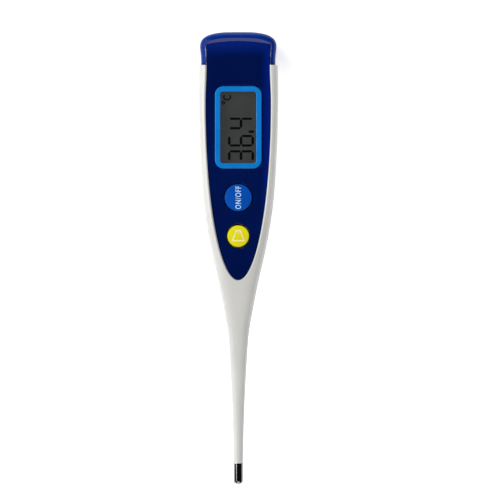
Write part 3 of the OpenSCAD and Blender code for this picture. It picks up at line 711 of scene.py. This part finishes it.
points, faces = [], []
half_stroke = segment_width / 2
segment_gap = 0.1 * MM
for digit, centre in digit_places:
    foot = digit_foot_x - half_stroke
    head = digit_foot_x - digit_height + half_stroke
    waist = (foot + head) / 2
    left, right = centre - digit_width / 2 + half_stroke, centre + digit_width / 2 - half_stroke
    inner_left, inner_right = left + segment_gap, right - segment_gap
    upper = (head + segment_gap, waist - segment_gap)
    lower = (waist + segment_gap, foot - segment_gap)
    bars = {
        "a": ((head, inner_left), (head, inner_right)),
        "g": ((waist, inner_left), (waist, inner_right)),
        "d": ((foot, inner_left), (foot, inner_right)),
        "b": ((upper[0], right), (upper[1], right)),
        "c": ((lower[0], right), (lower[1], right)),
        "f": ((upper[0], left), (upper[1], left)),
        "e": ((lower[0], left), (lower[1], left)),
    }
    for letter in lit[digit]:
        thin = segment_width if letter in "agd" else segment_width * 0.86
        stroke(*bars[letter], thin, points, faces)
point_y = display_y - 1.2 * MM
first = len(points)
for x, y in rounded(0.82 * MM, 0.36 * MM, 0.1 * MM, (4.0 * MM, point_y), 3):
    points.append((x, y, segment_z))
faces.append(tuple(range(first, len(points))))


def arc_band(centre, radius_x, radius_y, width, start, end, points, faces, steps=28):
    """Part of a flat oval ring, for the degree sign and the letter beside it."""
    first = len(points)
    for step in range(steps + 1):
        angle = math.radians(start + (end - start) * step / steps)
        for grow in (-width / 2, width / 2):
            points.append((centre[0] + (radius_x + grow) * math.cos(angle),
                           centre[1] + (radius_y + grow) * math.sin(angle), segment_z))
    for step in range(steps):
        i = first + 2 * step
        faces.append((i, i + 1, i + 3, i + 2))


arc_band((-4.55 * MM, display_y + 7.65 * MM), 0.38 * MM, 0.38 * MM, 0.32 * MM, 0, 360,
         points, faces)
arc_band((-3.4 * MM, display_y + 9.35 * MM), 1.05 * MM, 0.8 * MM, 0.42 * MM, 135, 405,
         points, faces)
segments = mesh_piece("display_segments", points, faces)
for face in segments.data.polygons:
    if face.normal.z < 0:
        face.flip()
segment_black = textured("segment_black", (0.0008, 0.0008, 0.0009), (0.002, 0.002, 0.0021), 300,
                         rough=(0.5, 0.6))
segments.data.materials.append(setting(segment_black, Specular_IOR_Level=0.05))
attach(segments, "thermometer")


# Circuit board: green fibreglass with its resin-covered chip and a row of small parts, carried
# by a moulded tray that also holds the buzzer and the battery. All of it lies inside the head.
finish("circuit_board", textured("green_board", (0.006, 0.09, 0.03), (0.012, 0.16, 0.055), 900,
                                 detail=1, rough=(0.3, 0.4), bump=0.2, depth=0.02 * MM,
                                 bump_grain=2500, stretch=(1, 0.25, 1), spread=(0.48, 0.52)))
finish("chip_cover", textured("black_resin", (0.004, 0.004, 0.004), (0.009, 0.009, 0.009), 300,
                              rough=(0.12, 0.25), bump=0.1, depth=0.03 * MM))
finish("chip_resistors", textured("chip_ceramic", (0.01, 0.01, 0.012), (0.02, 0.02, 0.022), 1500,
                                  rough=(0.4, 0.5), bump=0.1, depth=0.01 * MM))
finish("chip_capacitors", textured("tan_ceramic", (0.35, 0.24, 0.13), (0.42, 0.30, 0.17), 1500,
                                   rough=(0.4, 0.5), bump=0.1, depth=0.01 * MM))
finish("tray", textured("tray_plastic", (0.6, 0.6, 0.57), (0.66, 0.66, 0.63), 70,
                        rough=(0.38, 0.5), bump=0.08, depth=0.02 * MM, bump_grain=5000))
finish("switch_contacts", textured("gold_plate", (0.8, 0.52, 0.16), (0.9, 0.6, 0.2), 1200,
                                   rough=(0.2, 0.3), metallic=1))
finish("keypad", textured("silicone", (0.16, 0.165, 0.17), (0.2, 0.205, 0.21), 400,
                          rough=(0.55, 0.65), bump=0.1, depth=0.01 * MM))
finish("buzzer_plate", textured("brass_sheet", (0.6, 0.38, 0.12), (0.72, 0.48, 0.17), 400,
                                rough=(0.25, 0.4), metallic=1, stretch=(1, 12, 1), bump=0.1,
                                depth=0.005 * MM))
finish("buzzer_ceramic", textured("piezo_ceramic", (0.62, 0.6, 0.55), (0.7, 0.68, 0.62), 700,
                                  rough=(0.5, 0.65), bump=0.1, depth=0.01 * MM))
finish("buzzer_leads", textured("tinned_wire", (0.55, 0.55, 0.54), (0.68, 0.68, 0.67), 1500,
                                rough=(0.3, 0.45), metallic=1))
spring = textured("spring_metal", (0.52, 0.51, 0.48), (0.66, 0.65, 0.62), 800, rough=(0.2, 0.32),
                  metallic=1, stretch=(1, 10, 1), bump=0.08, depth=0.005 * MM)
finish("positive_contact", spring)
finish("negative_contact", spring)


# Probe tip: a drawn stainless cap, polished and rounded at its end, glued over the stem's
# spigot. The sensor bead, its two leads and the amber resin are inside it.
tip_y = tip_low.y
tip_corner = 1.0 * MM
tip_wall = 0.2 * MM


def thimble(radius, corner, y_closed, y_open):
    """Rings of a round cap on the stem's axis, from its closed end to its open end."""
    steps = [(0.02 * radius, y_closed)]
    for step in range(9):
        angle = math.pi / 2 * step / 8
        steps.append((radius - corner + corner * math.sin(angle),
                      y_closed + corner * (1 - math.cos(angle))))
    steps.append((radius, y_open))
    return [[(r * math.cos(2 * math.pi * i / 72), y, axis_z + r * math.sin(2 * math.pi * i / 72))
             for i in range(72)] for r, y in steps]


outer = thimble(probe_radius, tip_corner, tip_y, stem_end_y - 0.04 * MM)
outer.append([(x * 0.985, stem_end_y, axis_z + (z - axis_z) * 0.985) for x, _, z in outer[-1]])
inner = thimble(probe_radius - tip_wall, tip_corner - tip_wall, tip_y + tip_wall, stem_end_y)
tip = skin("tip_cap", outer + inner[::-1])
smooth(tip, 50)
steel = textured("probe_steel", (0.20, 0.20, 0.205), (0.28, 0.28, 0.285), 600, rough=(0.06, 0.1),
                 metallic=1, stretch=(1, 6, 1), bump=0.03, depth=0.004 * MM)
tip.data.materials.append(steel)
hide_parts("probe_tip")
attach(tip, "thermometer")
amber = textured("amber_epoxy", (0.35, 0.12, 0.02), (0.45, 0.17, 0.03), 500, rough=(0.15, 0.3))
finish("tip_epoxy", amber)
finish("sensor_bead", textured("sensor_glass", (0.45, 0.2, 0.05), (0.55, 0.26, 0.07), 900,
                               rough=(0.05, 0.12)))
finish("sensor_leads", textured("red_insulation", (0.35, 0.015, 0.01), (0.45, 0.02, 0.015), 500,
                                rough=(0.3, 0.42), bump=0.05, depth=0.01 * MM))


# Buttons: two moulded caps, each with a slightly domed face, a rounded edge, a skirt through
# the panel and a flange under the front wall. The marks on them are printed.
crown_rise = 0.22 * MM
cap_round, cap_ease = 0.2 * MM, 0.09 * MM


def cap_surface(radius, top, distance):
    """Height of a button's domed face at a distance from its middle."""
    ball = (radius ** 2 + crown_rise ** 2) / (2 * crown_rise)
    return top - ball + math.sqrt(ball ** 2 - distance ** 2)


def button_cap(name, node, material):
    """A button's cap, a little smaller than its hole; returns its place, radius and top."""
    y, radius = button_sizes[node]
    radius -= cap_ease
    low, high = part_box(node)
    levels = [(low.z, flange + cap_ease), (low.z + 0.6 * MM, flange + cap_ease),
              (low.z + 0.6 * MM, 0.0)]
    edge_z = cap_surface(radius, high.z, radius - cap_round)
    for step in range(6):
        angle = math.pi / 2 * step / 5
        levels.append((edge_z - cap_round * (1 - math.sin(angle)),
                       -cap_round * (1 - math.cos(angle))))
    for step in range(1, 12):
        distance = (radius - cap_round) * (1 - step / 12)
        levels.append((cap_surface(radius, high.z, distance), distance - radius))
    levels.append((high.z, 0.01 * MM - radius))
    cap = disc(name, y, radius, levels)
    smooth(cap, 50)
    cap.data.materials.append(material)
    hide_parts(node)
    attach(cap, node)
    return y, radius, high.z


def print_on_cap(piece, y, radius, top):
    """Cuts a flat mark into small faces and lays it on a button's dome."""
    work = bmesh.new()
    work.from_mesh(piece.data)
    bmesh.ops.triangulate(work, faces=work.faces)
    for _ in range(3):
        longer = [e for e in work.edges if e.calc_length() > 0.3 * MM]
        bmesh.ops.subdivide_edges(work, edges=longer, cuts=1)
        bmesh.ops.triangulate(work, faces=work.faces)
    for corner in work.verts:
        distance = min(radius, math.hypot(corner.co.x, corner.co.y - y))
        corner.co.z = cap_surface(radius, top, distance) + print_lift
    for face in work.faces:
        if face.normal.z < 0:
            face.normal_flip()
        face.smooth = True
    work.to_mesh(piece.data)
    work.free()


button_blue = textured("button_blue", (0.0005, 0.058, 0.34), (0.0009, 0.072, 0.40), 110,
                       rough=(0.35, 0.45), bump=0.06, depth=0.02 * MM, bump_grain=6000)
setting(button_blue, Specular_IOR_Level=0.08)
power = button_cap("power_cap", "power_button", button_blue)
legend_curve = bpy.data.curves.new("power_legend", "FONT")
legend_curve.body = "ON/OFF"
legend_curve.size = 2.75 * MM
legend_curve.offset = 0.012 * MM
legend_curve.space_character = 1.18
legend_curve.align_x = "CENTER"
legend_curve.align_y = "CENTER"
legend_text = bpy.data.objects.new("power_legend_text", legend_curve)
bpy.context.scene.collection.objects.link(legend_text)
legend_text.location = (0, power[0], power[2])
legend_text.rotation_euler = (0, 0, math.pi / 2)
bpy.context.view_layer.update()
legend_mesh = bpy.data.meshes.new_from_object(
    legend_text.evaluated_get(bpy.context.evaluated_depsgraph_get()))
legend_mesh.transform(legend_text.matrix_world)
bpy.data.objects.remove(legend_text)
legend = bpy.data.objects.new("power_legend", legend_mesh)
bpy.context.scene.collection.objects.link(legend)
reach = [v.co.y - power[0] for v in legend_mesh.vertices]
rise = [v.co.x for v in legend_mesh.vertices]
legend_length, legend_height = 6.9 * MM, 1.72 * MM
centre_x, centre_y = (max(rise) + min(rise)) / 2, power[0] + (max(reach) + min(reach)) / 2
for vertex in legend_mesh.vertices:
    vertex.co.x = (vertex.co.x - centre_x) * legend_height / (max(rise) - min(rise))
    vertex.co.y = power[0] + (vertex.co.y - centre_y) * legend_length / (max(reach) - min(reach))
print_on_cap(legend, *power)
pale_ink = textured("pale_ink", (0.55, 0.72, 0.9), (0.62, 0.78, 0.95), 600, rough=(0.45, 0.55))
legend.data.materials.clear()
legend.data.materials.append(pale_ink)
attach(legend, "power_button")

button_yellow = textured("button_yellow", (0.68, 0.63, 0.008), (0.77, 0.72, 0.014), 110,
                         rough=(0.35, 0.45), bump=0.06, depth=0.02 * MM, bump_grain=6000)
setting(button_yellow, Specular_IOR_Level=0.2)
sound = button_cap("sound_cap", "sound_button", button_yellow)
mark_line = 0.36 * MM
mark_y = sound[0]


def outline_mark(corners, width):
    """A closed line of one width through the given corners, as flat faces."""
    middle = [sum(c[i] for c in corners) / len(corners) for i in (0, 1)]
    total = len(corners)
    points = []
    for sign in (1, -1):
        for i in range(total):
            before, here, after = corners[i - 1], corners[i], corners[(i + 1) % total]
            a = (Vector(here) - Vector(before)).normalized()
            b = (Vector(after) - Vector(here)).normalized()
            normal_a, normal_b = Vector((-a.y, a.x)), Vector((-b.y, b.x))
            mitre = (normal_a + normal_b).normalized()
            grow = width / 2 / max(0.4, mitre.dot(normal_a)) * sign
            points.append((here[0] + mitre.x * grow, here[1] + mitre.y * grow, 0.0))
    faces = [(i, (i + 1) % total, total + (i + 1) % total, total + i) for i in range(total)]
    return points, faces


box_top, box_foot, bell_foot = 1.62 * MM, 0.9 * MM, -1.42 * MM
box_points, box_faces = outline_mark([
    (-0.78 * MM, mark_y + box_foot), (0.78 * MM, mark_y + box_foot),
    (0.72 * MM, mark_y + box_top), (-0.72 * MM, mark_y + box_top)], mark_line)
bell_points, bell_faces = outline_mark([
    (-1.78 * MM, mark_y + bell_foot), (1.78 * MM, mark_y + bell_foot),
    (0.88 * MM, mark_y + box_foot), (-0.88 * MM, mark_y + box_foot)], mark_line)
mark = mesh_piece("sound_mark", box_points + bell_points, box_faces + [
    tuple(i + len(box_points) for i in face) for face in bell_faces])
print_on_cap(mark, *sound)
mark.data.materials.append(textured("cream_ink", (0.88, 0.72, 0.34), (0.95, 0.8, 0.42), 600,
                                    rough=(0.45, 0.55)))
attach(mark, "sound_button")
for plunger in ("power_plunger", "sound_plunger"):
    finish(plunger, nodes["keypad"].data.materials[0])
carbon = textured("carbon_rubber", (0.01, 0.01, 0.01), (0.02, 0.02, 0.02), 2000,
                  rough=(0.6, 0.75), bump=0.2, depth=0.01 * MM)
for pill in ("power_pill", "sound_pill"):
    finish(pill, carbon)


# Battery: a steel button cell with its nylon ring. It slides out of the neck when the cover is
# off; the brushed can and cap are nickel-plated.
cell_steel = textured("cell_steel", (0.52, 0.52, 0.5), (0.66, 0.66, 0.64), 900, rough=(0.2, 0.32),
                      metallic=1, stretch=(1, 14, 1), bump=0.1, depth=0.005 * MM)
finish("battery_can", cell_steel)
finish("battery_cap", cell_steel)
finish("battery_grommet", textured("cell_nylon", (0.66, 0.6, 0.48), (0.74, 0.68, 0.56), 900,
                                   rough=(0.5, 0.6), bump=0.1, depth=0.01 * MM))


# Battery cover: one blue ABS cap with a domed end. Two lobes wrap the neck's sides, a softened
# lip runs down to the face panel, and a hollow plug with a rubber ring goes into the neck.
dome_y = end_y - 4.9 * MM
cover_start = cover_low.y
cover_half_wide = cover_high.x
cover_inset = 0.8 * MM
dome_power = 2.8
mouth_half = neck_half + slide_gap
dome_drop, waist_in = 0.15 * MM, 0.12 * MM
cover_back_power, cover_front_power = 3, 4.4


def dome(y):
    """How much of the cover's full size is left at y, where its closed end curves in."""
    if y <= dome_y:
        return 1.0
    return max(0, 1 - ((y - dome_y) / (end_y - dome_y)) ** dome_power) ** (1 / dome_power)


def cover_section(y, inset=0.0):
    """The cover's outside at y, with the underside planed off flat like the housing's."""
    part = min(1, (y - cover_start) / (dome_y - cover_start))
    side = head_half - cover_inset
    if y <= dome_y:
        half = (side + (cover_half_wide - side) * (1 - math.cos(math.pi * part)) / 2
                - waist_in * math.sin(math.pi * part))
    else:
        half = cover_half_wide * dome(y)
    middle, d = head_height / 2, dome(y)
    ring = section(y, half - inset, middle - (middle + back_flat) * d + inset, middle,
                   middle + (head_height - dome_drop - middle) * d - inset,
                   cover_back_power, cover_front_power, shell_points)
    return [(x, y_, max(z, inset)) for x, y_, z in ring]


edge = 0.25 * MM
rings = []
for step in range(5):
    angle = math.pi / 2 * step / 4
    rings.append(cover_section(cover_start + edge * (1 - math.cos(angle)),
                               edge * (1 - math.sin(angle))))
for step in range(1, 21):
    rings.append(cover_section(cover_start + edge + (dome_y - cover_start - edge) * step / 20))
dome_turn = math.radians(88.9)
for step in range(1, 27):
    y = dome_y + (end_y - dome_y) * math.sin(dome_turn * step / 26) / math.sin(dome_turn)
    rings.append(cover_section(min(y, end_y - 0.0003 * MM)))
cover = skin("blue_cap", rings)


def mouth_outline(side_gap, end_gap, start):
    """The mouth seen from the front: open towards the probe, ended by the arc."""
    half = mouth_half + side_gap
    ring = [(-half, start), (half, start)]
    for step in range(33):
        x = half * (1 - step / 16)
        ring.append((x, arc_y(x) + slide_gap + end_gap))
    return ring


mouth = bar("mouth", mouth_half, 1.3 * MM, head_height + 2 * MM, cover_start - MM,
            neck_y + 2 * MM, 1.2 * MM)
mouth_trim = skin("mouth_trim", [[(x, y, z) for x, y in mouth_outline(MM, 0, cover_start - 2 * MM)]
                                 for z in (-MM, head_height + 3 * MM)])
carve(mouth, mouth_trim, "INTERSECT")
carve(cover, mouth)
lip_base = panel_top - 0.25 * MM
lip_levels = [(lip_base, 0.0, -0.25 * MM), (panel_top - 0.12 * MM, 0.0, 0.0),
              (panel_top + 0.02 * MM, 0.0, 0.32 * MM), (panel_top + 0.12 * MM, 0.0, 0.58 * MM),
              (panel_top + 0.22 * MM, 0.0, 0.82 * MM),
              (panel_top + 0.32 * MM, 0.01 * MM, 1.04 * MM),
              (panel_top + 0.44 * MM, 0.04 * MM, 1.26 * MM),
              (panel_top + 0.8 * MM, 0.2 * MM, 1.9 * MM)]
carve(cover, skin("lip", [[(x, y, z) for x, y in mouth_outline(side, end, cover_start - MM)]
                          for z, side, end in lip_levels]))
plug_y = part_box("cover_seal")[0].y - 0.1 * MM
bay_half = neck_half - neck_wall
plug = bar("plug", bay_half - 0.65 * MM, tray_low.z + 0.5 * MM, ceiling_z - 0.65 * MM, plug_y,
           neck_y + 0.8 * MM, 0.8 * MM)
carve(cover, plug, "UNION")
carve(cover, bar("hollow", bay_half - 1.55 * MM, tray_low.z + 1.4 * MM, ceiling_z - 1.55 * MM,
                 plug_y - MM, end_y - 1.4 * MM, 0.4 * MM))
smooth(cover, 36)
cover_blue = textured("cover_blue", (0.0008, 0.019, 0.175), (0.0013, 0.025, 0.22), 70,
                      rough=(0.1, 0.16), bump=0.03, depth=0.02 * MM, bump_grain=3000)
setting(cover_blue, Specular_IOR_Level=0.07)
# Painted reflection: faces turned towards the probe, the lip most of all, are mixed with a greyer
# tint; below it the plain blue comes back.
painted_light_along(cover_blue, "Y", -0.16, -0.36, (0.066, 0.064, 0.215), "Normal")
painted_light_along(cover_blue, "Y", end_y - 4.0 * MM, end_y - 4.6 * MM, (0.0010, 0.022, 0.20))
cover.data.materials.append(cover_blue)
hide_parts("battery_cover")
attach(cover, "battery_cover")
finish("cover_seal", textured("seal_rubber", (0.012, 0.012, 0.012), (0.022, 0.022, 0.022), 1500,
                              rough=(0.6, 0.75), bump=0.15, depth=0.01 * MM))
